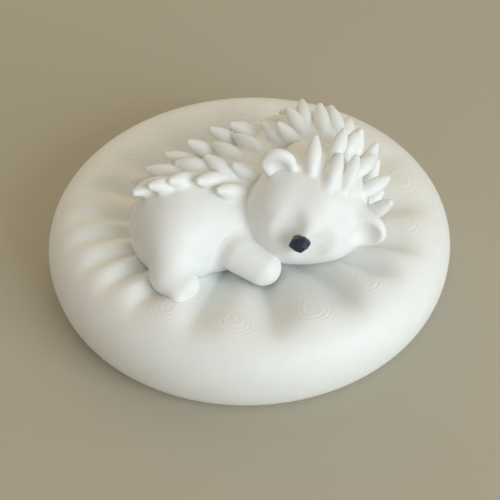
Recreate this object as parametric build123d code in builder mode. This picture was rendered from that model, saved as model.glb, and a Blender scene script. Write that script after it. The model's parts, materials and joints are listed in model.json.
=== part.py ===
from build123d import *
import os
from math import acos, asin, atan2, cos, degrees, pi, radians, sin, sqrt

# A sleeping hedgehog ornament, 3-D printed in white, lying on its left side on a round gathered cushion.
# Millimetres, +Z up, origin at the middle of the cushion's flat base. The belly and the face look along -Y,
# the head is at +X and the quilled back is at +Y.

# Fit between glued pieces
glue_gap = 0.12

# Cushion: a fat roll round a shallow hollow
cushion_radius = 40.0
base_radius = 36.5
equator_height = 7.5
crest_radius = 31.0
hollow_radius = 15.0
hollow_depth = 3.7

# Gathers drawn into the cushion's crown, as bearings in degrees from +X, close together beside the rump
gather_bearings = (
    *(-176, -165, -153, -142, -129, -109, -83, -56, -37),
    *(-24, -3, 24, 50, 76, 102, 128, 150, 168),
)
gather_share = 0.8
gather_inner_depth = 1.0
gather_crest_depth = 1.3

# Trunk: a pod from the rump to the shoulders, sunk into the hollow
rump_spot = (-12.4, -9.4)
rump_radius = 10.2
shoulder_spot = (11.9, 5.2)
shoulder_radius = 10.2
trunk_sink = 3.8

# Head: a ball drawn out into a blunt snout
head_spot = (10.3, -7.9)
head_radius = 12.0
head_sink = 2.8
face_lift = 14.0
face_turn = -93.7
ear_line_tilt = -38.0
snout_dip = 3.5
snout_aside = 1.2
snout_reach = 11.2
snout_radius = 2.9
snout_hollow = 8.5
eye_radius = 3.4
eye_depth = 0.7
eye_out = 24.0
eye_up = 18.0

# Nose: a faceted bead with a shank that sits in the snout
nose_width = 4.0
nose_brow_width = 3.3
nose_height = 3.3
nose_cheek_rise = 0.3
nose_depth = 2.2
nose_seat = 1.1
nose_taper = 24.0
shank_radius = 0.7
shank_length = 2.4

# Ears: dished discs that stand on the head at the two ends of the ear line
ear_radius = 3.3
ear_thickness = 2.1
ear_stand = 2.0
ear_out = 48.0
ear_forward = 43.0
ear_turn_out = 10.0
ear_dish_radius = 2.7
ear_dish_depth = 1.1
ear_dish_drop = 1.2
ear_edge = 0.6

# The two legs that show: the hind leg as steps from the rump, the foreleg as steps from the head,
# each with its rise above the hollow of the cushion
thigh_step = (-2.1, -4.5)
thigh_rise = 9.0
thigh_radius = 7.2
heel_step = (-1.4, -11.2)
heel_rise = 4.4
heel_radius = 4.2
toe_step = (-1.1, -14.8)
toe_rise = 3.2
toe_radius = 1.7
elbow_step = (-11.6, -7.5)
elbow_rise = 5.6
elbow_radius = 3.9
paw_step = (-7.0, -10.6)
paw_rise = 4.1
paw_radius = 3.4

# Coat: the rind over the back and the crown, thickest in its middle, that carries the quills
coat_thickness = 0.8
coat_lift = 39.0
coat_turn = 80.0
coat_rise = 4.8
coat_end_lift = 45.0
coat_end_rise = 6.0
crown_tip_back = 28.0
crown_height = 6.0

# Quills: blunt six-sided spikes, swept away from the face
quill_length = 5.2
quill_radius = 1.4
quill_waist = 2.2
quill_tip_radius = 0.65
quill_root_radius = 1.05
quill_root = 0.5
quill_sides = 6
quill_pitch = 4.3
quill_lean = 58.0

# Values that follow from these
roll_radius = cushion_radius - crest_radius
crest_height = equator_height + roll_radius
hollow_height = crest_height - hollow_depth
up = Vector(0, 0, 1)


def heading(lift, turn):
    """The unit direction that rises by one angle above the level, at a bearing from +X."""
    level = cos(radians(lift))
    return Vector(level * cos(radians(turn)), level * sin(radians(turn)), sin(radians(lift)))


def leg_point(spot, step, rise):
    """A point of a leg, from the spot that it steps from and its rise above the hollow."""
    return Vector(spot[0] + step[0], spot[1] + step[1], hollow_height + rise)


rump = Vector(*rump_spot, hollow_height + rump_radius - trunk_sink)
shoulder = Vector(*shoulder_spot, hollow_height + shoulder_radius - trunk_sink)
trunk = shoulder - rump
along = trunk.normalized()
head_middle = Vector(*head_spot, hollow_height + head_radius - head_sink)
face = heading(face_lift, face_turn)
snout = heading(face_lift - snout_dip, face_turn - snout_aside)
ear_line = up.cross(face).normalized().rotate(Axis((0, 0, 0), face), ear_line_tilt)
crown = face.cross(ear_line)
coat_normal = heading(coat_lift, coat_turn)
coat_end_normal = along * cos(radians(coat_end_lift)) + up * sin(radians(coat_end_lift))
crown_normal = crown * cos(radians(crown_tip_back)) - face * sin(radians(crown_tip_back))


def pod_side(length, start_radius, end_radius):
    """Half a pod's outline: two ball arcs joined by their tangent, from pole to pole along local X."""
    slope = degrees(asin((start_radius - end_radius) / length))
    with BuildLine() as side:
        start_arc = CenterArc((0, 0), start_radius, 180, -90 - slope)
        end_arc = CenterArc((length, 0), end_radius, 90 - slope, slope - 90)
        Line(start_arc @ 1, end_arc @ 0)
    return side.wire()


def pod(start, end, start_radius, end_radius, grow=0.0):
    """Two balls and the taper between them, turned about the line through their centres."""
    reach = end - start
    with BuildPart() as form:
        with BuildSketch(Plane(start, x_dir=reach, z_dir=reach.cross(up))):
            with BuildLine():
                add(pod_side(reach.length, start_radius + grow, end_radius + grow))
                Line((reach.length + end_radius + grow, 0), (-start_radius - grow, 0))
            make_face()
        revolve(axis=Axis(start, reach))
    return form.part


def trunk_form(grow=0.0, shift=Vector(0, 0, 0)):
    """The trunk from rump to shoulders."""
    return pod(rump + shift, shoulder + shift, rump_radius, shoulder_radius, grow)


def head_form(grow=0.0):
    """The ball of the head with the snout drawn out of it, a little below the way that the face looks."""
    ball = head_radius + snout_hollow
    tip = snout_radius + snout_hollow
    middle = (ball**2 - tip**2 + snout_reach**2) / (2 * snout_reach)
    height = sqrt(ball**2 - middle**2)
    ball_angle = degrees(atan2(height, middle))
    tip_angle = degrees(atan2(height, middle - snout_reach))
    with BuildPart() as form:
        with BuildSketch(Plane(head_middle, x_dir=snout, z_dir=up.cross(snout))):
            with BuildLine():
                CenterArc((0, 0), head_radius + grow, 180, ball_angle - 180)
                CenterArc((middle, height), snout_hollow - grow, ball_angle - 180, tip_angle - ball_angle)
                CenterArc((snout_reach, 0), snout_radius + grow, tip_angle, -tip_angle)
                Line((snout_reach + snout_radius + grow, 0), (-head_radius - grow, 0))
            make_face()
        revolve(axis=Axis(head_middle, snout))
    return form.part


def hind_leg_form(grow=0.0):
    """The round haunch and the foot that comes out below it."""
    heel = leg_point(rump_spot, heel_step, heel_rise)
    toe = leg_point(rump_spot, toe_step, toe_rise)
    with BuildPart() as form:
        with Locations(leg_point(rump_spot, thigh_step, thigh_rise)):
            Sphere(thigh_radius + grow)
        add(pod(heel, toe, heel_radius, toe_radius, grow))
    return form.part


def foreleg_form(grow=0.0):
    """The tucked foreleg, from the elbow to the paw."""
    elbow = leg_point(head_spot, elbow_step, elbow_rise)
    paw = leg_point(head_spot, paw_step, paw_rise)
    return pod(elbow, paw, elbow_radius, paw_radius, grow)


def coat_form(grow=0.0):
    """The rind over the back: the trunk shifted outwards, cut off along the belly and across the rump."""
    belly_edge = Plane(rump + coat_normal * (coat_rise - grow), z_dir=coat_normal)
    rump_edge = Plane(rump + coat_end_normal * (coat_end_rise - grow), z_dir=coat_end_normal)
    with BuildPart() as form:
        add(trunk_form(grow, coat_normal * coat_thickness))
        split(bisect_by=belly_edge, keep=Keep.TOP)
        split(bisect_by=rump_edge, keep=Keep.TOP)
    return form.part


def crown_form(grow=0.0):
    """The rind over the top of the head, cut off along the hairline."""
    hairline = Plane(head_middle + crown_normal * (crown_height - grow), z_dir=crown_normal)
    with BuildPart() as form:
        with Locations(head_middle + crown_normal * coat_thickness):
            Sphere(head_radius + grow)
        split(bisect_by=hairline, keep=Keep.TOP)
    return form.part


def ear_way(side):
    """The direction from the middle of the head to an ear, between the crown, the face and the ear line."""
    brow = crown * cos(radians(ear_forward)) + face * sin(radians(ear_forward))
    return brow * cos(radians(ear_out)) + ear_line * side * sin(radians(ear_out))


def ear_spot(side):
    """The middle of an ear."""
    return head_middle + ear_way(side) * (head_radius + ear_stand)


def scoop_radius(half_width, depth):
    """The radius of a round scoop from its half width and its depth."""
    return (half_width**2 + depth**2) / (2 * depth)


from_foot = (Align.CENTER, Align.CENTER, Align.MIN)

with BuildPart() as cushion:
    widest = (cushion_radius, equator_height)
    crest = (crest_radius, crest_height)
    brink = ((crest_radius + hollow_radius) / 2, crest_height - hollow_depth / 2)
    with BuildSketch(Plane.XZ):
        with BuildLine():
            Line((0, 0), (base_radius, 0))
            TangentArc(widest, (base_radius, 0), tangent=(0, -1))
            CenterArc((crest_radius, equator_height), roll_radius, 0, 90)
            inner_roll = TangentArc(crest, brink, tangent=(-1, 0))
            TangentArc(brink, (hollow_radius, hollow_height), tangent=inner_roll % 1)
            Line((hollow_radius, hollow_height), (0, hollow_height))
            Line((0, hollow_height), (0, 0))
        make_face()
    revolve(axis=Axis.Z)
    for i, bearing in enumerate(gather_bearings):
        after = gather_bearings[(i + 1) % len(gather_bearings)]
        room = min((bearing - gather_bearings[i - 1]) % 360, (after - bearing) % 360)
        half_turn = gather_share * radians(room) / 2
        inner = scoop_radius(half_turn * hollow_radius, gather_inner_depth)
        outer = scoop_radius(half_turn * crest_radius, gather_crest_depth)
        foot = heading(0, bearing) * hollow_radius + up * (hollow_height - gather_inner_depth + inner)
        head_end = heading(0, bearing) * crest_radius + up * (crest_height - gather_crest_depth + outer)
        reach = (head_end - foot) * ((cushion_radius - hollow_radius) / (crest_radius - hollow_radius))
        end_radius = inner + (outer - inner) * reach.length / (head_end - foot).length
        with Locations(Plane(foot, z_dir=reach)):
            Cone(inner, end_radius, reach.length, align=from_foot, mode=Mode.SUBTRACT)
    for nested in (trunk_form, coat_form, head_form, crown_form, hind_leg_form, foreleg_form):
        add(nested(glue_gap), mode=Mode.SUBTRACT)
    with Locations(ear_spot(1)):
        Sphere(sqrt(ear_radius**2 + ear_thickness**2 / 4) + glue_gap, mode=Mode.SUBTRACT)

with BuildPart() as body:
    add(trunk_form())

nose_base = head_middle + snout * (snout_reach + snout_radius - nose_seat)
nose_plane = Plane(nose_base, x_dir=up.cross(snout), z_dir=snout)
nose_outline = [
    (0, -nose_height / 2),
    (nose_width / 2, nose_cheek_rise),
    (nose_brow_width / 2, nose_height / 2),
    (-nose_brow_width / 2, nose_height / 2),
    (-nose_width / 2, nose_cheek_rise),
]

with BuildPart() as head:
    add(head_form())
    for side in (-1, 1):
        outward = face.rotate(Axis((0, 0, 0), crown), side * eye_out)
        outward = outward.rotate(Axis((0, 0, 0), ear_line), -eye_up)
        with Locations(head_middle + outward * (head_radius + eye_radius - eye_depth)):
            Sphere(eye_radius, mode=Mode.SUBTRACT)
    add(trunk_form(glue_gap), mode=Mode.SUBTRACT)
    add(coat_form(glue_gap), mode=Mode.SUBTRACT)
    with BuildSketch(nose_plane):
        Polygon(*nose_outline, align=None)
        offset(amount=glue_gap)
    extrude(amount=nose_depth, mode=Mode.SUBTRACT)
    with BuildSketch(nose_plane.offset(-shank_length - glue_gap)):
        Circle(shank_radius + glue_gap)
    extrude(amount=shank_length + 2 * glue_gap, mode=Mode.SUBTRACT)

with BuildPart() as nose:
    with BuildSketch(nose_plane):
        Polygon(*nose_outline, align=None)
    extrude(amount=nose_depth, taper=nose_taper)
    with BuildSketch(nose_plane.offset(-shank_length)):
        Circle(shank_radius)
    extrude(amount=shank_length)


def ear_form(side):
    """A disc that stands out of the head, with a hollow in front that runs down into the head."""
    outward = ear_way(side)
    facing = (face - outward * face.dot(outward)).normalized()
    facing = facing.rotate(Axis((0, 0, 0), outward), side * ear_turn_out)
    spot = ear_spot(side)
    dish = scoop_radius(ear_dish_radius, ear_dish_depth)
    with BuildPart() as form:
        with BuildSketch(Plane(spot - facing * ear_thickness / 2, x_dir=outward, z_dir=facing)):
            Circle(ear_radius)
        extrude(amount=ear_thickness)
        chamfer(form.edges().filter_by(GeomType.CIRCLE), ear_edge)
        with Locations(spot - outward * ear_dish_drop + facing * (ear_thickness / 2 + dish - ear_dish_depth)):
            Sphere(dish, mode=Mode.SUBTRACT)
        for neighbour in (head_form, crown_form, trunk_form, coat_form):
            add(neighbour(glue_gap), mode=Mode.SUBTRACT)
    return form.part


with BuildPart() as right_ear:
    add(ear_form(-1))

with BuildPart() as left_ear:
    add(ear_form(1))

with BuildPart() as hind_leg:
    add(hind_leg_form())
    add(trunk_form(glue_gap), mode=Mode.SUBTRACT)
    add(coat_form(glue_gap), mode=Mode.SUBTRACT)

with BuildPart() as foreleg:
    add(foreleg_form())
    add(trunk_form(glue_gap), mode=Mode.SUBTRACT)
    add(head_form(glue_gap), mode=Mode.SUBTRACT)

with BuildPart() as quill:
    with BuildSketch(Plane.XY.offset(-quill_root)):
        RegularPolygon(quill_root_radius, quill_sides)
    with BuildSketch(Plane.XY.offset(quill_waist)):
        RegularPolygon(quill_radius, quill_sides)
    with BuildSketch(Plane.XY.offset(quill_length)):
        RegularPolygon(quill_tip_radius, quill_sides)
    loft(ruled=True)


def quill_place(point, outward, sweep):
    """The seat of a quill that leans from the skin's outward direction towards the sweep."""
    flat = (sweep - outward * sweep.dot(outward)).normalized()
    lean = outward * cos(radians(quill_lean)) + flat * sin(radians(quill_lean))
    return Plane(point, x_dir=outward.cross(flat), z_dir=lean)


def quill_points(place):
    """Points along the middle of a quill, from its seat to its tip."""
    steps = round(quill_length / quill_radius)
    return [place.origin + place.z_dir * quill_length * step / steps for step in range(steps + 1)]


def clear_of(place, centre, radius):
    """Whether a quill stands outside a ball."""
    room = radius + quill_radius + glue_gap
    return all((point - centre).length > room for point in quill_points(place))


def apart(place, others):
    """Whether a quill stays clear of the quills of the other piece."""
    return all(clear_of(place, point, quill_radius) for other in others for point in quill_points(other))


def crown_places():
    """Quills in rings round the middle of the crown, from the hairline upwards, swept back from the face."""
    hub = head_middle + crown_normal * coat_thickness
    reach = acos((crown_height - coat_thickness) / head_radius) * head_radius
    for ring in range(int(reach / quill_pitch) + 1):
        away = (reach - quill_radius - ring * quill_pitch) / head_radius
        count = max(1, round(2 * pi * head_radius * sin(away) / quill_pitch))
        for i in range(count):
            side = ear_line.rotate(Axis((0, 0, 0), crown_normal), 360 * (i + ring % 2 / 2) / count)
            outward = crown_normal * cos(away) + side * sin(away)
            yield quill_place(hub + outward * head_radius, outward, -face)


def back_places():
    """Quills in rings round the trunk, from pole to pole, swept towards the rump."""
    start = rump + coat_normal * coat_thickness
    side_line = pod_side(trunk.length, rump_radius, shoulder_radius)
    for ring in range(int(side_line.length / quill_pitch)):
        at = (ring + 0.5) * quill_pitch / side_line.length
        spot = side_line.position_at(at)
        rise = side_line.tangent_at(at)
        count = max(1, round(2 * pi * spot.Y / quill_pitch))
        for i in range(count):
            side = along.cross(up).cross(along).normalized()
            side = side.rotate(Axis((0, 0, 0), along), 360 * (i + ring % 2 / 2) / count)
            outward = side * rise.X - along * rise.Y
            yield quill_place(start + along * spot.X + side * spot.Y, outward, -along)


crown_seats = [
    place for place in crown_places()
    if clear_of(place, shoulder + coat_normal * coat_thickness, shoulder_radius)
    and all(clear_of(place, spot, ear_radius) for spot in (ear_spot(-1), ear_spot(1)))
]
back_seats = [
    place for place in back_places()
    if (place.origin - rump).dot(coat_normal) > coat_rise + quill_radius
    and (place.origin - rump).dot(coat_end_normal) > coat_end_rise + quill_radius
    and quill_points(place)[-1].Z > crest_height + quill_radius
    and clear_of(place, head_middle + crown_normal * coat_thickness, head_radius)
    and all(clear_of(place, spot, ear_radius) for spot in (ear_spot(-1), ear_spot(1)))
    and apart(place, crown_seats)
]
print("crown quills", len(crown_seats), "back quills", len(back_seats))

with BuildPart() as back_quills:
    add(coat_form())
    with Locations(*[place.location for place in back_seats]):
        add(quill.part)
    for neighbour in (trunk_form, head_form, crown_form):
        add(neighbour(glue_gap), mode=Mode.SUBTRACT)

with BuildPart() as crown_quills:
    add(crown_form())
    with Locations(*[place.location for place in crown_seats]):
        add(quill.part)
    for neighbour in (head_form, trunk_form, coat_form):
        add(neighbour(glue_gap), mode=Mode.SUBTRACT)

pieces = {
    "cushion": cushion,
    "body": body,
    "head": head,
    "nose": nose,
    "right_ear": right_ear,
    "left_ear": left_ear,
    "hind_leg": hind_leg,
    "foreleg": foreleg,
    "back_quills": back_quills,
    "crown_quills": crown_quills,
}
os.makedirs("parts", exist_ok=True)
for name, piece in pieces.items():
    piece.part.label = name
    export_step(piece.part, f"parts/{name}.step")
    print(name, len(piece.part.solids()), "solid", round(piece.part.volume, 1))
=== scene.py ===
# %% [markdown]
# # A sleeping hedgehog, printed in white plastic
# The object is a desk ornament from a 3-D printer: a hedgehog that sleeps on its side on a round,
# gathered cushion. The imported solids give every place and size. This lesson gives them the soft forms,
# the quills and the finish that the print has, piece by piece, in the same frame and in metres.

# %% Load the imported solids
import itertools
import json
import math

import bpy
import numpy as np
from mathutils import Matrix, Vector

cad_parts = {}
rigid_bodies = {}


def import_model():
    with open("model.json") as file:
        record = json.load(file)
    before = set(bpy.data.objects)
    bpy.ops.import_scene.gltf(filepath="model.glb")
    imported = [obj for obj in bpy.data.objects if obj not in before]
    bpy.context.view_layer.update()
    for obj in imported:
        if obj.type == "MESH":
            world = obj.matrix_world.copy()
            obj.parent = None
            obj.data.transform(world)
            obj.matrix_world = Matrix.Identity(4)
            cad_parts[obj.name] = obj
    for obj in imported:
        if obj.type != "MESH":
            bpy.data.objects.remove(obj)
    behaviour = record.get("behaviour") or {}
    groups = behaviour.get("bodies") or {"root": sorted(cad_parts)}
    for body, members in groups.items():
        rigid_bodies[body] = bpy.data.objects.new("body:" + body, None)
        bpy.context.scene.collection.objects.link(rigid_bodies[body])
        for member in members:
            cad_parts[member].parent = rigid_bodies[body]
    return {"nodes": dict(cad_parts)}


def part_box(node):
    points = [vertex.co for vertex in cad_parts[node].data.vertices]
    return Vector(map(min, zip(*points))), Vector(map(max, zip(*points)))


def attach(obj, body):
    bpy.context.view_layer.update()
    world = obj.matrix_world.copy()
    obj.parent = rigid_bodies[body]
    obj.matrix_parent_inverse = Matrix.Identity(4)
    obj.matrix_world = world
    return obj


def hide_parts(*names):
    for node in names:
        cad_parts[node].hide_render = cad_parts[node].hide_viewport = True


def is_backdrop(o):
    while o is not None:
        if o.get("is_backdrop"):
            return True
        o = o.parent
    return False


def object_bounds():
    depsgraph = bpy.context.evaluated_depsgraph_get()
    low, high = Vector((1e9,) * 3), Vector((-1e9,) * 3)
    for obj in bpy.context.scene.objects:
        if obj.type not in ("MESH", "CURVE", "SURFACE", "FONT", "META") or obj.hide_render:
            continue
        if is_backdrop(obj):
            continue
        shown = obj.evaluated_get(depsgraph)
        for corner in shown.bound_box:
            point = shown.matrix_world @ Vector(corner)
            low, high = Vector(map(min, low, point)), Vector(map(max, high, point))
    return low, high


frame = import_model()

cad_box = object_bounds()
print("packed nodes:", ", ".join(sorted(frame["nodes"])))

# %% [markdown]
# ## Colours and nodes
# Colours are written as on a paint chart, in sRGB hex, and the shader wants linear light. One function
# turns one into the other. A second one adds a node with its settings and its links, so that a material
# reads like a short recipe.

# %% A colour in linear light, and one way to add a node
def linear_colour(hex_colour):
    channels = [int(hex_colour[i:i + 2], 16) / 255 for i in (1, 3, 5)]
    return [c / 12.92 if c <= 0.04045 else ((c + 0.055) / 1.055) ** 2.4 for c in channels] + [1.0]


def add_node(tree, kind, sockets=None, **settings):
    made = tree.nodes.new(kind)
    for name, value in settings.items():
        setattr(made, name, value)
    for socket, value in (sockets or {}).items():
        if isinstance(value, bpy.types.NodeSocket):
            tree.links.new(value, made.inputs[socket])
        else:
            made.inputs[socket].default_value = value
    return made


print("white in linear light:", [round(c, 3) for c in linear_colour("#eaecea")])

# %% [markdown]
# ## White PLA, printed in layers
# PLA is a hard, faintly milky plastic. The printer lays it down in threads, so the skin is matte along
# the layers and carries fine level lines. A picture of print lines would have to be wrapped round every
# form. A wave along the height needs no wrapping, because layers are level everywhere. A slow cloud of
# noise makes the roughness and the white uneven, as a print is. The plastic lets a little light in, which
# softens the shade.

# %% The white print: colour and gloss
MM = 0.001
CLOUD_MM = 4.0

white_pla = bpy.data.materials.new("white PLA printed in layers")
white_pla.use_nodes = True
tree = white_pla.node_tree
shader = tree.nodes["Principled BSDF"]
place = add_node(tree, "ShaderNodeTexCoord").outputs["Object"]

# Where the thread cooled slower, the print is a shade greyer and a little glossier
cloud = add_node(tree, "ShaderNodeTexNoise",
                 {"Vector": place, "Scale": 1 / (CLOUD_MM * MM), "Detail": 3.0}).outputs["Fac"]
white = add_node(tree, "ShaderNodeMix", {"Factor": cloud, "A": linear_colour("#eaecea"),
                                         "B": linear_colour("#f2f5f3")}, data_type="RGBA")
gloss = add_node(tree, "ShaderNodeMapRange", {"Value": cloud, "To Min": 0.42, "To Max": 0.58})
tree.links.new(white.outputs["Result"], shader.inputs["Base Color"])
tree.links.new(gloss.outputs["Result"], shader.inputs["Roughness"])
shader.inputs["IOR"].default_value = 1.46
shader.inputs["Subsurface Weight"].default_value = 0.12
shader.inputs["Subsurface Radius"].default_value = (1.0, 0.9, 0.75)
shader.inputs["Subsurface Scale"].default_value = 1.0 * MM
print("material:", white_pla.name)

# %% The white print: layer lines
LAYER_MM = 0.2
LINE_DEPTH_MM = 0.02

# A layer is about a pixel high in the render, so the lines are drawn two layers apart to show
LINE_MM = 2 * LAYER_MM

# A wave of scale 1 repeats every pi / 10
lines = add_node(tree, "ShaderNodeTexWave", {"Vector": place, "Scale": math.pi / 10 / (LINE_MM * MM),
                                             "Distortion": 0.6, "Detail": 1.0, "Detail Scale": 0.4},
                 bands_direction="Z")
relief = add_node(tree, "ShaderNodeBump", {"Height": lines.outputs["Fac"], "Strength": 0.25,
                                           "Distance": LINE_DEPTH_MM * MM})
tree.links.new(relief.outputs["Normal"], shader.inputs["Normal"])
print("layer lines every", LINE_MM, "mm")

# %% [markdown]
# ## The dark nose bead
# The nose is a separate small bead, moulded with flat facets, navy black and smoother than the print. A
# plain black would look like a hole. A fine grain in the colour and the roughness breaks the gloss, so
# that it isn't a black mirror either.

# %% The dark bead
GRAIN_MM = 0.5

navy_bead = bpy.data.materials.new("navy black moulded bead")
navy_bead.use_nodes = True
tree = navy_bead.node_tree
shader = tree.nodes["Principled BSDF"]
place = add_node(tree, "ShaderNodeTexCoord").outputs["Object"]
grain = add_node(tree, "ShaderNodeTexNoise",
                 {"Vector": place, "Scale": 1 / (GRAIN_MM * MM), "Detail": 4.0}).outputs["Fac"]
navy = add_node(tree, "ShaderNodeMix", {"Factor": grain, "A": linear_colour("#1b2233"),
                                        "B": linear_colour("#2b3448")}, data_type="RGBA")
gloss = add_node(tree, "ShaderNodeMapRange", {"Value": grain, "To Min": 0.22, "To Max": 0.42})
tree.links.new(navy.outputs["Result"], shader.inputs["Base Color"])
tree.links.new(gloss.outputs["Result"], shader.inputs["Roughness"])
shader.inputs["IOR"].default_value = 1.5
print("material:", navy_bead.name)

# %% [markdown]
# ## Soft forms from distances
# A sculptor's soft forms are hard to get from a box with a subdivision, because every join has to be
# kneaded by hand. Here a form is a function that says how far a point is from its surface, minus inside.
# Two forms then melt into each other by one formula, and the width of the melt is a length in millimetres
# that can be read off the photograph.

# %% Balls, tapers and soft joins
def ball(p, centre, radius):
    return np.linalg.norm(p - centre, axis=-1) - radius


def taper(p, start, end, start_radius, end_radius):
    """A rounded stick whose radius runs evenly from one end to the other."""
    axis = end - start
    length = np.linalg.norm(axis)
    axis = axis / length
    slant = (start_radius - end_radius) / length
    lean = math.sqrt(1 - slant * slant)
    along = (p - start) @ axis
    across = np.linalg.norm(p - start - along[..., None] * axis, axis=-1)
    at = np.clip(along - across * slant / lean, 0, length)
    return np.hypot(along - at, across) - (start_radius - slant * at)


def soft_join(a, b, melt):
    return np.minimum(a, b) - np.maximum(melt - np.abs(a - b), 0) ** 2 / (4 * melt)


def soft_trim(a, b, melt):
    return -soft_join(-a, -b, melt)


trial = ball(np.array([3.0, 0, 0]), np.zeros(3), 1.0)
print("3 mm from the middle of a ball of radius 1 mm, its skin is", trial, "mm away")

# %% Seat one form on another
SEAT_DEPTH = 0.8

# The thin edge of a fillet lies this far under the carrier's skin, so that the two skins don't coincide
EDGE_DEPTH = 0.01


def seated(form, carrier, fillet):
    """A form with a soft fillet where it sits on its carrier, sunk into it no deeper than its seat."""
    filleted = soft_join(form, carrier + EDGE_DEPTH, fillet)
    return np.maximum(np.maximum(filleted, form - fillet), -carrier - SEAT_DEPTH)


print("a piece reaches", SEAT_DEPTH, "mm into the piece that carries it")

# %% [markdown]
# ## From a distance to a mesh
# The space round a form is cut into small cells. Every cell that the surface crosses gets one point, and
# every grid edge that it crosses gets one four-sided face between the cells round it. The result is
# always closed. Metaballs would also melt, but their skin doesn't lie at a radius that can be set in
# millimetres. At the end the points slide onto the exact surface along its slope, so the mesh is smooth
# and not stepped.

# %% Cells that the surface crosses
CORNERS = np.array(list(itertools.product((0, 1), repeat=3)))
EDGES = [(a, b) for a, b in itertools.combinations(range(8), 2)
         if np.abs(CORNERS[a] - CORNERS[b]).sum() == 1]


def sampled(form, axes):
    """The form's distance at every point of a grid, one slab at a time to spare memory."""
    shape = tuple(len(axis) for axis in axes)
    distance = np.empty(shape)
    sheet = np.stack(np.meshgrid(axes[1], axes[2], indexing="ij"), axis=-1).reshape(-1, 2)
    for i, x in enumerate(axes[0]):
        slab = np.column_stack([np.full(len(sheet), x), sheet])
        distance[i] = form(slab).reshape(shape[1:])
    return distance


def crossed_cells(inside):
    """The place of every crossed cell, and a grid with the number of each."""
    nx, ny, nz = (n - 1 for n in inside.shape)
    count = sum(inside[a:a + nx, b:b + ny, c:c + nz].astype(np.int8) for a, b, c in CORNERS)
    crossed = (count > 0) & (count < len(CORNERS))
    spots = np.argwhere(crossed)
    number = np.full(crossed.shape, -1)
    number[crossed] = np.arange(len(spots))
    return spots, number


print(len(CORNERS), "corners and", len(EDGES), "edges to a cell")


# %% Points and faces between the cells
def cell_points(distance, spots):
    """One point in each crossed cell, in the middle of the places where its edges are cut."""
    at_corner = np.stack([distance[tuple((spots + corner).T)] for corner in CORNERS], axis=1)
    total = np.zeros((len(spots), 3))
    cuts = np.zeros((len(spots), 1))
    for a, b in EDGES:
        cut = (at_corner[:, a] < 0) != (at_corner[:, b] < 0)
        gap = np.where(cut, at_corner[:, a] - at_corner[:, b], 1.0)
        share = (at_corner[:, a] / gap)[:, None]
        total += cut[:, None] * (CORNERS[a] + share * (CORNERS[b] - CORNERS[a]))
        cuts += cut[:, None]
    return spots + total / cuts


def cell_faces(inside, number):
    """One four-sided face round each grid edge that the surface cuts, turned outwards."""
    cells = np.array(number.shape)
    faces = []
    for axis in range(3):
        u, v = np.roll(np.eye(3, dtype=int), -axis - 1, axis=0)[:2]
        first = np.take(inside, range(cells[axis]), axis=axis)
        second = np.take(inside, range(1, cells[axis] + 1), axis=axis)
        edge = np.argwhere(first != second)
        edge = edge[((edge - u - v) >= 0).all(axis=1) & (edge < cells).all(axis=1)]
        ring = np.stack([number[tuple((edge - step).T)] for step in (0 * u, u, u + v, v)], axis=1)
        faces.append(np.where(first[tuple(edge.T)][:, None], ring, ring[:, ::-1]))
    return np.concatenate(faces).tolist()


def slid_onto(form, points, cell):
    """The points moved onto the exact surface in three goes, each by half a cell at most."""
    nudge = cell * 0.05
    least_slope = 0.3
    for _ in range(3):
        away = form(points)
        slope = np.stack([form(points + nudge * step) - away for step in np.eye(3)], axis=1) / nudge
        steep = np.maximum((slope ** 2).sum(axis=1), least_slope)
        points = points - np.clip(away[:, None] * slope / steep[:, None], -cell / 2, cell / 2)
    return points


def skin(form, low, high, cell):
    axes = [np.arange(lo, hi + cell, cell) for lo, hi in zip(low, high)]
    distance = sampled(form, axes)
    inside = distance < 0
    spots, number = crossed_cells(inside)
    points = np.array([axis[0] for axis in axes]) + cell * cell_points(distance, spots)
    return slid_onto(form, points, cell), cell_faces(inside, number)


trial_points, trial_faces = skin(lambda p: ball(p, np.zeros(3), 1.0), [-1.5] * 3, [1.5] * 3, 0.25)
print("a trial ball of radius 1 mm has", len(trial_points), "points and", len(trial_faces), "faces")


# %% Add a piece to the frame
def add_piece(name, points, faces, replaced_node, material=white_pla, slot="white_print", smooth=True):
    mesh = bpy.data.meshes.new(name)
    mesh.from_pydata((points * MM).tolist(), [], faces)
    mesh.polygons.foreach_set("use_smooth", np.full(len(mesh.polygons), smooth))
    mesh.materials.append(material)
    piece = bpy.data.objects.new(name, mesh)
    bpy.context.collection.objects.link(piece)
    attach(piece, "root")
    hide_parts(replaced_node)
    print(f"{name}: {len(mesh.polygons)} faces")
    return piece


def node_room(node, margin):
    """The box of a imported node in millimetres, with a margin round it."""
    low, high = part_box(node)
    return np.array(low) / MM - margin, np.array(high) / MM + margin


print("box of the body:", [corner.round(1).tolist() for corner in node_room("body", margin=0)], "mm")

# %% [markdown]
# ## Where the animal lies
# The trunk is a pod from the rump to the shoulders, half sunk into the cushion's hollow. The haunch is a
# thigh that runs down into a short foot, and the foreleg is one stick, tucked under the chin. All could
# be lofted, but a taper needs only a place and a radius at each end. The measures are in millimetres, set
# on the solids.

# %% The trunk, the haunch and the foreleg as forms
UP = np.array([0.0, 0.0, 1.0])
RUMP = np.array([-12.4, -9.4, 19.2])
SHOULDER = np.array([11.9, 5.2, 19.2])
TRUNK_RADIUS = 10.2
BELLY, BELLY_RADIUS, BELLY_MELT = np.array([-4.5, -8.5, 18.5]), 8.2, 2.0
THIGH, THIGH_RADIUS = np.array([-13.7, -14.6, 21.6]), 5.8
HEEL, HEEL_RADIUS = np.array([-14.6, -20.3, 17.6]), 3.5
SOLE, SOLE_RADIUS = np.array([-12.1, -22.4, 16.9]), 2.5
TOE, TOE_RADIUS = np.array([-13.4, -24.8, 16.2]), 1.0
FOOT_MELT, ANKLE_MELT = 1.5, 1.2
ELBOW, ELBOW_RADIUS = np.array([-1.7, -15.8, 18.3]), 4.0
PAW, PAW_RADIUS = np.array([2.4, -18.6, 16.9]), 3.4


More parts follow.
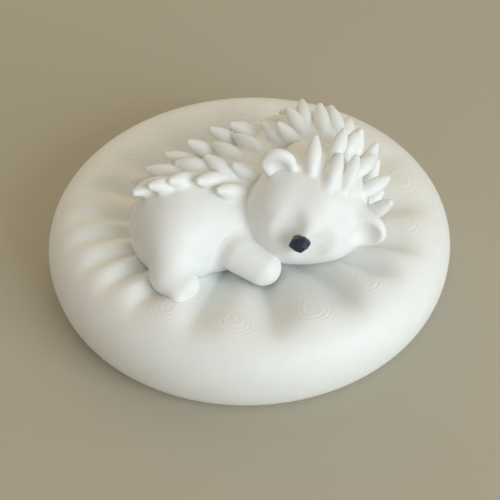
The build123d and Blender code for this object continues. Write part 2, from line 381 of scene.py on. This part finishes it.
def trunk(p):
    pod = taper(p, RUMP, SHOULDER, TRUNK_RADIUS, TRUNK_RADIUS)
    return soft_join(pod, ball(p, BELLY, BELLY_RADIUS), BELLY_MELT)


def haunch(p):
    """A shank on a foot, whose three edges run between the heel, the sole and the toe."""
    foot = soft_join(taper(p, HEEL, SOLE, HEEL_RADIUS, SOLE_RADIUS),
                     taper(p, SOLE, TOE, SOLE_RADIUS, TOE_RADIUS), FOOT_MELT)
    foot = soft_join(foot, taper(p, HEEL, TOE, HEEL_RADIUS, TOE_RADIUS), FOOT_MELT)
    shank = taper(p, THIGH, HEEL, THIGH_RADIUS, HEEL_RADIUS)
    return soft_join(shank, foot, ANKLE_MELT)


def foreleg(p):
    return taper(p, ELBOW, PAW, ELBOW_RADIUS, PAW_RADIUS)


ALONG = (SHOULDER - RUMP) / np.linalg.norm(SHOULDER - RUMP)
print("the trunk points along", ALONG.round(3))

# %% [markdown]
# ## The head
# The head is a ball in front of the shoulders, rolled onto its left cheek, so the line from ear to ear
# stands at a slant. The face is a blunt snout between two cheeks. A soft trough on each side of the snout
# is what reads as a closed eye, and a broad bridge carries the snout up into the forehead. The ball is
# pressed flat under the chin, where it lies on the cushion, and behind the upper ear, where it runs into
# the neck. A sculpted mesh could have all this too, but here each feature stays a number that can be
# changed.

# %% Which way the head looks
def heading(lift, turn):
    """The direction so many degrees above the level, turned so many from +X."""
    lift, turn = math.radians(lift), math.radians(turn)
    return np.array([math.cos(lift) * math.cos(turn), math.cos(lift) * math.sin(turn), math.sin(lift)])


def turned(vector, axis, degrees):
    return np.array(Matrix.Rotation(math.radians(degrees), 3, Vector(axis)) @ Vector(vector))


HEAD, HEAD_RADIUS, HEAD_ROLL = np.array([10.3, -7.9, 22.0]), 12.0, -38.0
FACE = heading(14.0, -93.7)
level = np.cross(UP, FACE)
EAR_LINE = turned(level / np.linalg.norm(level), FACE, HEAD_ROLL)
CROWN = np.cross(FACE, EAR_LINE)


def on_head(forward, upward, sideways):
    """The place so many millimetres from the middle of the head."""
    return HEAD + FACE * forward + CROWN * upward + EAR_LINE * sideways


print("the face looks along", FACE.round(3), "and the ears lie along", EAR_LINE.round(3))

# %% The head as a form
CHEEK_FORWARD, CHEEK_UP, CHEEK_SIDE = 6.0, 0.8, 4.8
CHEEK_RADIUS, CHEEK_MELT = 4.9, 2.4
BRIDGE_LOW, BRIDGE_LOW_RADIUS = on_head(8.6, 1.8, 0), 4.0
BRIDGE_HIGH, BRIDGE_HIGH_RADIUS = on_head(6.8, 5.0, 0), 4.1
SNOUT = heading(10.5, -94.9)
SNOUT_ROOT, SNOUT_ROOT_RADIUS = HEAD + SNOUT * 7.6, 4.8
SNOUT_TIP, SNOUT_TIP_RADIUS = HEAD + SNOUT * 10.9, 2.6
BRIDGE_MELT, FACE_MELT = 1.5, 2.4
TROUGH = ((13.4, 2.4, 3.9), (13.6, 0.7, 3.7), (13.5, -1.6, 3.6), (13.3, -3.4, 2.8))
TROUGH_RADIUS, TROUGH_MELT = 1.9, 2.0
CHIN_WAY, CHIN_REACH, CHIN_MELT = heading(-47.0, -90.0), 11.0, 2.4
NAPE_WAY, NAPE_REACH, NAPE_MELT = heading(31.1, 145.7), 10.0, 3.0


def nape(p):
    return (p - HEAD) @ NAPE_WAY - NAPE_REACH


def head(p):
    form = ball(p, HEAD, HEAD_RADIUS)
    for side in (-1, 1):
        cheek = ball(p, on_head(CHEEK_FORWARD, CHEEK_UP, CHEEK_SIDE * side), CHEEK_RADIUS)
        form = soft_join(form, cheek, CHEEK_MELT)
    bridge = taper(p, BRIDGE_LOW, BRIDGE_HIGH, BRIDGE_LOW_RADIUS, BRIDGE_HIGH_RADIUS)
    snout = taper(p, SNOUT_ROOT, SNOUT_TIP, SNOUT_ROOT_RADIUS, SNOUT_TIP_RADIUS)
    form = soft_join(form, soft_join(bridge, snout, BRIDGE_MELT), FACE_MELT)
    for side in (-1, 1):
        ends = [on_head(forward, upward, side * sideways) for forward, upward, sideways in TROUGH]
        for start, end in zip(ends, ends[1:]):
            form = soft_trim(form, -taper(p, start, end, TROUGH_RADIUS, TROUGH_RADIUS), TROUGH_MELT)
    form = soft_trim(form, (p - HEAD) @ CHIN_WAY - CHIN_REACH, CHIN_MELT)
    return soft_trim(form, nape(p), NAPE_MELT)


print("the snout ends at", (SNOUT_TIP + SNOUT * SNOUT_TIP_RADIUS).round(1), "mm")

# %% [markdown]
# ## The ears
# An ear is a thick round petal with a dished front. The upper one stands against the quills with its
# hollow towards the viewer. The lower one lies over the edge of the cushion and melts into the cheek. A
# squashed ball would be too sharp at its edge. A disc with a rounded edge, dished by a ball or a taper,
# keeps an even rim.

# %% The ears as forms
EAR_RADIUS, EAR_THICKNESS = 3.3, 2.1
EAR_LEAN, EAR_OUT, EAR_TURN = math.radians(43.0), math.radians(48.0), 10.0
UPPER, LOWER = -1, 1
EAR_STAND = {UPPER: 1.7, LOWER: 2.0}
EAR_TILT = {UPPER: 8.0, LOWER: 0.0}
EAR_SHIFT = {UPPER: np.array([-0.5, 0.86, 0.2]), LOWER: np.zeros(3)}

# Of each end of a dish: how far out and how far in front of the ear's middle, and the radius
UPPER_DISH = ((-0.6, 2.7, 2.5), (-4.0, 2.9, 2.8))
LOWER_DISH = (0.9, 3.4, 2.7)


def ear(p, side):
    """The petal of one ear, its dish, and how far a point lies in front of its flat front."""
    upward = CROWN * math.cos(EAR_LEAN) + FACE * math.sin(EAR_LEAN)
    outward = upward * math.cos(EAR_OUT) + EAR_LINE * side * math.sin(EAR_OUT)
    spot = HEAD + outward * (HEAD_RADIUS + EAR_STAND[side]) + EAR_SHIFT[side]
    facing = FACE - outward * (FACE @ outward)
    facing = turned(facing / np.linalg.norm(facing), outward, side * EAR_TURN)
    hinge = np.cross(facing, outward)
    facing, outward = turned(facing, hinge, EAR_TILT[side]), turned(outward, hinge, EAR_TILT[side])
    depth = (p - spot) @ facing
    across = np.linalg.norm(p - spot - depth[..., None] * facing, axis=-1)
    half = EAR_THICKNESS / 2
    petal = np.hypot(np.maximum(across - (EAR_RADIUS - half), 0), depth) - half
    if side == LOWER:
        out, front, radius = LOWER_DISH
        dish = ball(p, spot + outward * out + facing * front, radius)
    else:
        ends = [spot + outward * out + facing * front for out, front, _ in UPPER_DISH]
        dish = taper(p, *ends, *(radius for _, _, radius in UPPER_DISH))
    return petal, dish, depth - half


print("an ear is", 2 * EAR_RADIUS, "mm across and", EAR_THICKNESS, "mm thick")

# %% [markdown]
# ## Bare forms to pieces
# The trunk, the legs, the head and the ears are each a piece of the print, so each form is meshed by
# itself and seated on what carries it. A remesh of all of them together would be quicker, but it would
# leave one lump. The fillet is wide where the print flows over and narrow where a crease shows. The ears
# have the smallest curves and get the smallest cells.

# %% Mesh the trunk, the legs and the head
CELL = 0.35
HAUNCH_FILLET, FORELEG_FILLET, NECK_FILLET = 1.6, 1.2, 0.8


def seated_haunch(p):
    return seated(haunch(p), trunk(p), HAUNCH_FILLET)


def seated_foreleg(p):
    return seated(foreleg(p), trunk(p), FORELEG_FILLET)


def seated_head(p):
    return seated(head(p), trunk(p), NECK_FILLET)


for node, form, margin in (("body", trunk, 1.5), ("hind_leg", seated_haunch, 2.5),
                           ("foreleg", seated_foreleg, 2.0), ("head", seated_head, 2.0)):
    add_piece("printed_" + node, *skin(form, *node_room(node, margin), CELL), node)

# %% Mesh the ears
EAR_CELL, EAR_MARGIN = 0.24, 4.5
UPPER_EAR_FILLET, LOWER_EAR_FILLET = 1.4, 4.5
UPPER_DISH_MELT, LOWER_DISH_MELT, EAR_FRONT_MELT = 0.6, 0.8, 0.3


def upper_ear(p):
    """The upper ear has its fillet behind it only, so that its hollow stays open."""
    petal, dish, in_front = ear(p, UPPER)
    form = soft_trim(seated(petal, head(p), UPPER_EAR_FILLET), -dish, UPPER_DISH_MELT)
    return soft_trim(form, in_front, EAR_FRONT_MELT)


def lower_ear(p):
    petal, dish, _ = ear(p, LOWER)
    return soft_trim(seated(petal, head(p), LOWER_EAR_FILLET), -dish, LOWER_DISH_MELT)


for node, form in (("right_ear", upper_ear), ("left_ear", lower_ear)):
    add_piece("printed_" + node, *skin(form, *node_room(node, EAR_MARGIN), EAR_CELL), node)

# %% [markdown]
# ## The quills
# The coat is the part that makes the animal. Each quill is a blunt drop that leans away from the face, so
# the whole coat looks combed from the nose to the rump. A hair system would bury the few thick quills in
# its settings, so each quill that shows in front has its own line in a table: where it is rooted, which
# way it turns and how far it leans. On the far side, which the photograph doesn't show, the quills stand
# in shuffled rows. A seeded shuffle moves every quill a little, so that none looks drilled.

# %% The rind that carries the quills
COAT_NORMAL, COAT_RISE = heading(39.0, 80.0), 4.8
COAT_END_SLANT, COAT_END_RISE = math.radians(45), 6.0
COAT_END_NORMAL = ALONG * math.cos(COAT_END_SLANT) + UP * math.sin(COAT_END_SLANT)
COAT_RUMP, COAT_RUMP_RADIUS = RUMP + COAT_NORMAL * 0.6, 9.6
COAT_SHOULDER, COAT_SHOULDER_RADIUS = SHOULDER + COAT_NORMAL * 1.8, 9.8
COAT_LENGTH = np.linalg.norm(COAT_SHOULDER - COAT_RUMP)
COAT_MELT = 3.5
CROWN_SLANT, CROWN_HEIGHT, CROWN_THICKNESS = math.radians(28), 6.0, 0.8
CROWN_NORMAL = CROWN * math.cos(CROWN_SLANT) - FACE * math.sin(CROWN_SLANT)
CROWN_HUB = HEAD + CROWN_NORMAL * CROWN_THICKNESS
CROWN_MELT, NAPE_OVERHANG = 2.8, 0.6


def back_rind(p):
    pod = taper(p, COAT_RUMP, COAT_SHOULDER, COAT_RUMP_RADIUS, COAT_SHOULDER_RADIUS)
    border = np.maximum(COAT_RISE - (p - RUMP) @ COAT_NORMAL, COAT_END_RISE - (p - RUMP) @ COAT_END_NORMAL)
    return soft_trim(pod, border, COAT_MELT)


def crown_rind(p):
    border = CROWN_HEIGHT - (p - HEAD) @ CROWN_NORMAL
    rind = soft_trim(ball(p, CROWN_HUB, HEAD_RADIUS), border, CROWN_MELT)
    return soft_trim(rind, nape(p) - NAPE_OVERHANG, NAPE_MELT)


print("the back's rind is", round(float(COAT_LENGTH), 1), "mm long between the middles of its ends")

# %% Seats of the quills on the back
# Millimetres along the coat from the rump and degrees round it from the top towards the belly, then the
# quill's turn from the way to the rump, minus towards the far side, and its lean from straight out
BACK_SEATS = [
    (9.3, 38, -16, 68), (7.4, 15, 0, 66), (3.1, -2, 8, 66), (-0.3, -8, 0, 70), (-1.8, -28, 5, 74),
    (13.6, 31, -45, 66), (9.6, 16, -67, 82), (6.7, -12, -45, 74), (13.1, -3, -67, 79), (17.5, -2, -74, 82),
    (22.7, 8, -75, 72), (27.4, 5, -89, 64), (29.1, -6, -121, 74), (31.0, 14, -112, 77), (35.1, 0, -117, 82),
    (34.3, 21, -110, 80), (36.2, 23, -140, 81), (37.0, 40, -150, 76), (24.4, 17, -60, 55), (11.0, -38, 0, 44),
    (16.5, -38, -10, 38), (20.8, -36, 0, 48), (2.0, -30, -30, 66), (6.8, -36, -30, 55)]

# Round the end behind the shoulders
BACK_SEATS += [
    (37.4, -66, -20, 66), (34.0, -70, -20, 64), (36.4, -110, -20, 60), (36.0, 170, 0, 60),
    (38.1, -150, 0, 60), (34.6, -98, -20, 62), (33.2, -126, -20, 64), (37.4, 128, 0, 62)]

# Shuffled rows on the far side, every other one set back by half a pitch
FAR_ROLLS, FAR_COUNT = (-58, -74, -90, -106, -122), 9
FAR_START, FAR_PITCH, FAR_TURN, FAR_LEAN = 0.5, 4.2, -30, 66
shuffle = np.random.default_rng(7)
for row, roll in enumerate(FAR_ROLLS):
    for i in range(FAR_COUNT):
        station = FAR_START + FAR_PITCH * (i + row % 2 / 2) + shuffle.uniform(-0.6, 0.6)
        around = roll + shuffle.uniform(-4, 4)
        turn = FAR_TURN + shuffle.uniform(-15, 15)
        BACK_SEATS.append((station, around, turn, FAR_LEAN))
print(len(BACK_SEATS), "seats on the back")

# %% Seats of the quills on the crown
# Degrees from the crown's middle and round it from the ear line, then the quill's turn from the way to
# that middle and its lean from straight out
CROWN_SEATS = [
    (67, -119, 29, 71), (72, -96, 12, 80), (64, -80, 8, 78), (53, -50, -38, 48), (68, -20, 60, 56),
    (30, -22, 17, 36), (26, -96, -7, 42), (17, -50, 60, 34), (38, -66, -30, 66), (44, -108, 10, 58),
    (45, 5, 10, 55), (68, 12, 20, 60), (20, 20, 180, 72), (40, 40, 180, 60), (58, 34, 170, 60),
    (20, 110, 180, 72), (38, 85, 180, 60)]
print(len(CROWN_SEATS), "seats on the crown")

# %% From a seat to the two ends of a quill
CROWN_QUILL_LENGTH, CROWN_ROOT_SINK = 6.2, 0.3
BACK_QUILL_LENGTH, LOWEST_TIP = 5.3, 15.5


def quill_from(seat, outward, way, turn, lean, length):
    """The two ends of a quill that leans from the skin's outward direction along a turned way."""
    flat = way - outward * (way @ outward)
    flat = turned(flat / np.linalg.norm(flat), outward, turn + shuffle.uniform(-5, 5))
    lean = math.radians(lean + shuffle.uniform(-3, 3))
    reach = (outward * math.cos(lean) + flat * math.sin(lean)) * length
    return seat, seat + reach * shuffle.uniform(0.94, 1.06)


def crown_quills():
    start = EAR_LINE - CROWN_NORMAL * (EAR_LINE @ CROWN_NORMAL)
    for away, around, turn, lean in CROWN_SEATS:
        side = turned(start / np.linalg.norm(start), CROWN_NORMAL, around)
        outward = CROWN_NORMAL * math.cos(math.radians(away)) + side * math.sin(math.radians(away))
        seat = CROWN_HUB + outward * (HEAD_RADIUS - CROWN_ROOT_SINK)
        yield quill_from(seat, outward, CROWN_NORMAL, turn, lean, CROWN_QUILL_LENGTH)


def back_quills():
    axis = (COAT_SHOULDER - COAT_RUMP) / COAT_LENGTH
    start = UP - axis * (UP @ axis)
    for station, roll, turn, lean in BACK_SEATS:
        side = turned(start / np.linalg.norm(start), axis, roll)
        straight = min(max(station, 0), COAT_LENGTH)
        radius = COAT_RUMP_RADIUS + (COAT_SHOULDER_RADIUS - COAT_RUMP_RADIUS) * straight / COAT_LENGTH
        ring_radius = math.sqrt(radius ** 2 - (station - straight) ** 2)
        outward = (side * ring_radius + axis * (station - straight)) / radius
        seat = COAT_RUMP + axis * station + side * ring_radius
        yield quill_from(seat, outward, -axis, turn, lean, BACK_QUILL_LENGTH)


# A quill whose tip would lie in the cushion is left out
CROWN_QUILLS = list(crown_quills())
BACK_QUILLS = [(root, tip) for root, tip in back_quills() if tip[2] > LOWEST_TIP]
print(len(CROWN_QUILLS), "quills on the crown and", len(BACK_QUILLS), "on the back")

# %% Mesh the two quilled coats
QUILL_RADIUS, QUILL_TIP_RADIUS, QUILL_MELT = 1.5, 0.7, 0.5
BACK_ROOT_RADIUS, BACK_FILLET, BACK_CELL = 1.25, 1.2, 0.3
CROWN_ROOT_RADIUS, CROWN_FILLET, CROWN_CELL = 0.9, 1.0, 0.28


def drop(p, root, tip, root_radius):
    """A blunt drop: narrow at its root, widest near the middle, round at its tip."""
    axis = tip - root
    length = np.linalg.norm(axis)
    share = np.clip((p - root) @ axis / length ** 2, 0, 1)
    swell = 4 * QUILL_RADIUS - 3 * root_radius - QUILL_TIP_RADIUS
    radius = root_radius + share * (swell + share * (QUILL_TIP_RADIUS - root_radius - swell))
    return np.linalg.norm(p - root - share[..., None] * axis, axis=-1) - radius


def quilled(p, rind, quills, root_radius):
    form = rind
    for root, tip in quills:
        form = soft_join(form, drop(p, root, tip, root_radius), QUILL_MELT)
    return form


def back_coat(p):
    return seated(quilled(p, back_rind(p), BACK_QUILLS, BACK_ROOT_RADIUS), trunk(p), BACK_FILLET)


def crown_coat(p):
    return seated(quilled(p, crown_rind(p), CROWN_QUILLS, CROWN_ROOT_RADIUS), head(p), CROWN_FILLET)


for node, form, margin, cell in (("back_quills", back_coat, 6.0, BACK_CELL),
                                 ("crown_quills", crown_coat, 5.0, CROWN_CELL)):
    add_piece("printed_" + node, *skin(form, *node_room(node, margin), cell), node)

# %% [markdown]
# ## The cushion
# The cushion is a fat roll round a shallow hollow. The gathers pull it in towards the animal, so between
# them it stands up in puffs, wide in front and narrow beside the rump. It is hard plastic, so nothing is
# gained by a cloth simulation. A round grid of rows and spokes suits it, because every wrinkle follows
# either a bearing or a radius.

# %% Rows of the cushion, from the middle of the base over the rim to the middle of the top
CUSHION_RADIUS, BASE_RADIUS, EQUATOR = 40.0, 36.5, 7.5
CREST_RADIUS, HOLLOW_RADIUS, HOLLOW_HEIGHT = 31.0, 15.0, 12.8
ROLL_RADIUS = CUSHION_RADIUS - CREST_RADIUS
CREST_HEIGHT = EQUATOR + ROLL_RADIUS
PUFF_FOOT_RADIUS, PLUG_RADIUS = 26, 0.5
SLOPE_FULLNESS = 0.7
SPOKES = 900

# The rows lie closest on both sides of the crest, where the print's terraces show
base = np.array([PLUG_RADIUS, 12, 24, 33])
under = np.linspace(0, math.pi / 2, 14)
over = np.concatenate([np.linspace(0, math.pi / 3, 20)[1:], np.linspace(math.pi / 3, math.pi / 2, 44)[1:]])
inward = np.concatenate([np.linspace(CREST_RADIUS, PUFF_FOOT_RADIUS, 42)[1:],
                         np.linspace(PUFF_FOOT_RADIUS, HOLLOW_RADIUS, 30)[1:]])
floor_rows = np.linspace(HOLLOW_RADIUS, PLUG_RADIUS, 12)[1:]
slope_share = 0.5 + 0.5 * np.cos(math.pi * (CREST_RADIUS - inward) / (CREST_RADIUS - HOLLOW_RADIUS))
row_radius = np.concatenate([
    base, BASE_RADIUS + (CUSHION_RADIUS - BASE_RADIUS) * np.sin(under),
    CREST_RADIUS + ROLL_RADIUS * np.cos(over), inward, floor_rows])
row_height = np.concatenate([
    np.zeros(len(base)), EQUATOR * (1 - np.cos(under)), EQUATOR + ROLL_RADIUS * np.sin(over),
    HOLLOW_HEIGHT + (CREST_HEIGHT - HOLLOW_HEIGHT) * slope_share ** SLOPE_FULLNESS,
    np.full(len(floor_rows), HOLLOW_HEIGHT)])
print(len(row_radius), "rows of", SPOKES, "points")

# %% How deep each gather is
# Bearings of the gathers, in degrees from +X
GATHERS = np.array([-176, -165, -153, -142, -129, -109, -83, -56, -37, -24, -3,
                    24, 50, 76, 102, 128, 150, 168, 184])
GATHER_DEPTH, WIDE_PUFF, FAINTEST = 2.4, 25, 0.3

# A gather between wide puffs is deeper than one between narrow ones, and those behind the animal are faint
puff_width = np.diff(GATHERS)
width_beside = (puff_width + np.roll(puff_width, 1)) / 2
width_beside = np.append(width_beside, width_beside[0])
gather_depth = GATHER_DEPTH * np.minimum(width_beside / WIDE_PUFF, 1) ** 0.5
on_front = np.clip(0.5 - 1.2 * np.sin(np.radians(GATHERS)), 0, 1)
gather_depth *= FAINTEST + (1 - FAINTEST) * on_front
print("gathers from", gather_depth.min().round(2), "to", gather_depth.max().round(2), "mm deep")

# %% Draw in the gathers
CREASE_ROUNDING = 0.3
GATHER_START, GATHER_FULL = 38.0, 28.0
HOLLOW_START, HOLLOW_END, HOLLOW_SHARE = 26, 18, 0.6


def smooth_step(x):
    x = np.clip(x, 0, 1)
    return x * x * (3 - 2 * x)


# Across a puff the roll is an arch, and the crease between two arches is rounded
bearing = np.linspace(GATHERS[0], GATHERS[-1], SPOKES, endpoint=False)
puff = np.searchsorted(GATHERS, bearing, side="right") - 1
across_puff = (bearing - GATHERS[puff]) / puff_width[puff]
nearest_gather = np.where(across_puff < 0.5, puff, puff + 1)
arch = np.hypot(np.sin(math.pi * across_puff), CREASE_ROUNDING)
arch_top = math.hypot(1, CREASE_ROUNDING)
pulled = (arch_top - arch) / (arch_top - CREASE_ROUNDING)

# A gather starts inside the rim, is deepest on the inner side of the crest and shallower in the hollow
along_gather = smooth_step((GATHER_START - row_radius) / (GATHER_START - GATHER_FULL))
before_hollow = smooth_step((row_radius - HOLLOW_END) / (HOLLOW_START - HOLLOW_END))
along_gather *= HOLLOW_SHARE + (1 - HOLLOW_SHARE) * before_hollow
along_gather[row_height < EQUATOR] = 0
height = row_height[:, None] - along_gather[:, None] * (gather_depth[nearest_gather] * pulled)[None, :]
print("the gathers lower the cushion by up to", (row_height[:, None] - height).max().round(2), "mm")

# %% [markdown]
# ## Terraces
# A printer can't make a gentle slope. It makes terraces of one layer, and these show as rings on top of
# the puffs. A bump in the material would only shade them and would be lost in an export, so the rings are
# stepped into the points. They show only where they lie far enough apart: on the wide puffs and near the
# crest, not in the creases.

# %% Step the gentle slopes in layers
TERRACE_SEEN_MM, TERRACE_CLEAR_MM = 0.45, 0.75
TERRACE_INNER, TERRACE_FULL, TERRACE_DROP = 24, 28, 3
NARROW_PUFF, BROAD_PUFF = 13, 19
CREASE_SIDE, CREASE_FADE = 0.6, 0.3
RISER_START, RISER_WIDTH = 0.3, 0.4
TERRACE_STRENGTH = 0.7
FLATTEST = 1e-3

slope_out = np.gradient(height, axis=0) / np.minimum(np.gradient(row_radius), -FLATTEST)[:, None]
slope_round = np.gradient(height, axis=1) / (row_radius[:, None] * math.radians(360 / SPOKES))
spacing = LAYER_MM / np.maximum(np.hypot(slope_out, slope_round), FLATTEST)
shown = smooth_step((spacing - TERRACE_SEEN_MM) / (TERRACE_CLEAR_MM - TERRACE_SEEN_MM))
shown *= smooth_step((row_radius - TERRACE_INNER) / (TERRACE_FULL - TERRACE_INNER))[:, None]
shown[row_height < CREST_HEIGHT - TERRACE_DROP] = 0
shown *= smooth_step((CREASE_SIDE - pulled) / CREASE_FADE)[None, :]
shown *= smooth_step((puff_width[puff] - NARROW_PUFF) / (BROAD_PUFF - NARROW_PUFF))[None, :]
layers = height / LAYER_MM
whole = np.floor(layers)
stepped = (whole + smooth_step((layers - whole - RISER_START) / RISER_WIDTH)) * LAYER_MM
height = height + TERRACE_STRENGTH * shown * (stepped - height)
print("terraces on", round(100 * float((shown > 0.5).mean())), "% of the points")

# %% [markdown]
# ## The nest
# The animal lies in the cushion and not on it, so the top gives way under it. The same distance forms say
# how deep a point of the cushion lies inside the animal, and the point is lowered by that much, step by
# step, until it is clear. A boolean cut would leave thin slivers of mesh along its edge.

# %% Sink the nest of the animal and close the mesh
NEST_GAP, NEST_STEPS = 0.08, 30
TOP_HEIGHT, TOP_RADIUS = 10, 36


def animal(p):
    return np.minimum.reduce([trunk(p), haunch(p), foreleg(p), head(p), ear(p, LOWER)[0]])


angle = np.radians(bearing)
points = np.stack([row_radius[:, None] * np.cos(angle), row_radius[:, None] * np.sin(angle), height], axis=-1)
points = points.reshape(-1, 3)
top = np.flatnonzero((points[:, 2] > TOP_HEIGHT) & (np.hypot(points[:, 0], points[:, 1]) < TOP_RADIUS))
for _ in range(NEST_STEPS):
    points[top, 2] += np.minimum(animal(points[top]) + NEST_GAP, 0)

index = np.arange(len(points)).reshape(len(row_radius), SPOKES)
following = np.roll(index, -1, axis=1)
quads = np.stack([index[:-1], following[:-1], following[1:], index[1:]], axis=-1).reshape(-1, 4)
cushion_faces = quads.tolist() + [index[0, ::-1].tolist(), index[-1].tolist()]
add_piece("printed_cushion", points, cushion_faces, "cushion")
print("lowest point of the nest:", points[top, 2].min().round(2), "mm")

# %% [markdown]
# ## The nose
# The bead is cut like a small stone: a pointed chin, two cheeks and a narrow brow, then facets that run
# in to a flat table. It could be carved from a cube with cuts, but each ring of the cut is the same
# outline at another size, so a loop stacks the rings. A narrow bevel takes the razor edge off the facets,
# as the mould does, and catches a thin line of light.

# %% Cut the nose bead
OUTLINE = np.array([(0.0, -1.45), (1.35, -0.65), (2.0, 0.3), (1.25, 1.35),
                    (0.0, 1.7), (-1.25, 1.35), (-2.0, 0.3), (-1.35, -0.65)])
BEAD_REACH, BEAD_RISE, BEAD_ROLL, BEAD_BEVEL = 13.0, 0.35, 9.0, 0.08

# Of each ring: millimetres along the snout, and its share of the outline
RINGS = [(-1.0, 0.8), (0.6, 1.0), (1.1, 1.0), (2.2, 0.5)]

bead_across = np.cross(UP, SNOUT)
bead_across = turned(bead_across / np.linalg.norm(bead_across), SNOUT, BEAD_ROLL)
bead_up = np.cross(SNOUT, bead_across)
bead_base = HEAD + SNOUT * BEAD_REACH + bead_up * BEAD_RISE
girdle = OUTLINE[:, :1] * bead_across + OUTLINE[:, 1:] * bead_up
bead = np.concatenate([bead_base + SNOUT * depth + girdle * size for depth, size in RINGS])
sides = len(OUTLINE)
bead_faces = [list(range(sides))[::-1], [sides * (len(RINGS) - 1) + i for i in range(sides)]]
for ring, i in itertools.product(range(len(RINGS) - 1), range(sides)):
    here, beside = ring * sides + i, ring * sides + (i + 1) % sides
    bead_faces.append([here, beside, beside + sides, here + sides])
nose = add_piece("nose_bead", bead, bead_faces, "nose", navy_bead, "dark_nose", smooth=False)
bevel = nose.modifiers.new("soft edges", "BEVEL")
bevel.width = BEAD_BEVEL * MM
bevel.segments = 2

# %% [markdown]
# ## The studio
# A pale floor, one large soft lamp from the front right and a warm fill from behind are enough: on white
# plastic, form is only shade. More lamps would fill the creases that the eye reads the forms by. The
# lamps stay weak enough that the white never runs out to blank paper.

# %% Floor
FLOOR_HALF = 2

floor_mesh = bpy.data.meshes.new("floor")
floor_corners = [(x * FLOOR_HALF, y * FLOOR_HALF, 0) for x, y in ((-1, -1), (1, -1), (1, 1), (-1, 1))]
floor_mesh.from_pydata(floor_corners, [], [(0, 1, 2, 3)])
floor = bpy.data.objects.new("floor", floor_mesh)
bpy.context.collection.objects.link(floor)
floor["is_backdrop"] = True
floor_board = bpy.data.materials.new("pale matte board")
floor_board.use_nodes = True
shader = floor_board.node_tree.nodes["Principled BSDF"]
shader.inputs["Base Color"].default_value = linear_colour("#b9b3a2")
shader.inputs["Roughness"].default_value = 0.9
floor_mesh.materials.append(floor_board)
print("floor:", floor_board.name)


# %% Lamps and world
def add_lamp(name, bearing, lift, distance, size, power, colour):
    """A square lamp that looks at the origin. Angles are in degrees, lengths in metres, power in watts."""
    lamp = bpy.data.lights.new(name, "AREA")
    lamp.size = size
    lamp.energy = power
    lamp.color = linear_colour(colour)[:3]
    holder = bpy.data.objects.new(name, lamp)
    way = Vector(heading(lift, bearing))
    holder.location = way * distance
    holder.rotation_euler = way.to_track_quat("Z", "Y").to_euler()
    bpy.context.collection.objects.link(holder)


add_lamp("key", bearing=-46, lift=21, distance=0.7, size=0.5, power=3.55, colour="#ebf7ff")
add_lamp("fill", bearing=100, lift=40, distance=0.8, size=0.8, power=1.3, colour="#ffe5a4")

world = bpy.context.scene.world or bpy.data.worlds.new("studio")
bpy.context.scene.world = world
world.use_nodes = True
sky = world.node_tree.nodes["Background"]
sky.inputs["Color"].default_value = linear_colour("#fff4e4")
sky.inputs["Strength"].default_value = 0.455
bpy.context.scene.view_settings.view_transform = "Standard"
print("lamps:", ", ".join(lamp.name for lamp in bpy.data.lights))

# %% [markdown]
# ## The camera
# The photograph was taken from 43 degrees above the level and about 26 cm away, by a camera that was held
# a little askew. A camera could be moved by eye until the picture fits. Here its place follows from the
# cushion, whose round outline is seen at a slant, and the focal length from the frame of 500 by 500 pixels.

# %% The camera
CAMERA_LIFT, CAMERA_DISTANCE, CAMERA_ROLL = 43.2, 0.26, -1.9
CAMERA_SHIFT_X, CAMERA_SHIFT_Y = 0.002, -0.0274
FOCAL_PIXELS, FRAME_PIXELS, SENSOR_MM = 1295, 500, 36.0

camera_data = bpy.data.cameras.new("camera")
camera_data.sensor_width = SENSOR_MM
camera_data.lens = FOCAL_PIXELS / FRAME_PIXELS * SENSOR_MM
camera_data.clip_start = 0.01
camera_data.shift_x = CAMERA_SHIFT_X
camera_data.shift_y = CAMERA_SHIFT_Y
camera = bpy.data.objects.new("camera", camera_data)
camera_back = Vector(heading(CAMERA_LIFT, -90))
camera_right = Vector((1, 0, 0))
camera_up = camera_back.cross(camera_right)
tilt = math.radians(CAMERA_ROLL)
camera_axes = Matrix((camera_right * math.cos(tilt) + camera_up * math.sin(tilt),
                      camera_up * math.cos(tilt) - camera_right * math.sin(tilt), camera_back)).transposed()
camera_place = Vector((0, 0, EQUATOR * MM)) + camera_back * CAMERA_DISTANCE
camera.matrix_world = Matrix.Translation(camera_place) @ camera_axes.to_4x4()
bpy.context.collection.objects.link(camera)
bpy.context.scene.camera = camera
print("camera at", [round(x, 3) for x in camera_place], "m, lens", round(camera_data.lens, 1), "mm")

# %% [markdown]
# The looks must not change the object's size. The box of the solids was kept at the start, and the tops of
# both boxes are printed side by side.

# %% Both boxes and their tops
boxes = {"cad": cad_box, "visual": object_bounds()}
{name: [[float(x) for x in corner] for corner in box] for name, box in boxes.items()}
print("tops:", {name: round(float(box[1][2]) / MM, 2) for name, box in boxes.items()}, "mm")
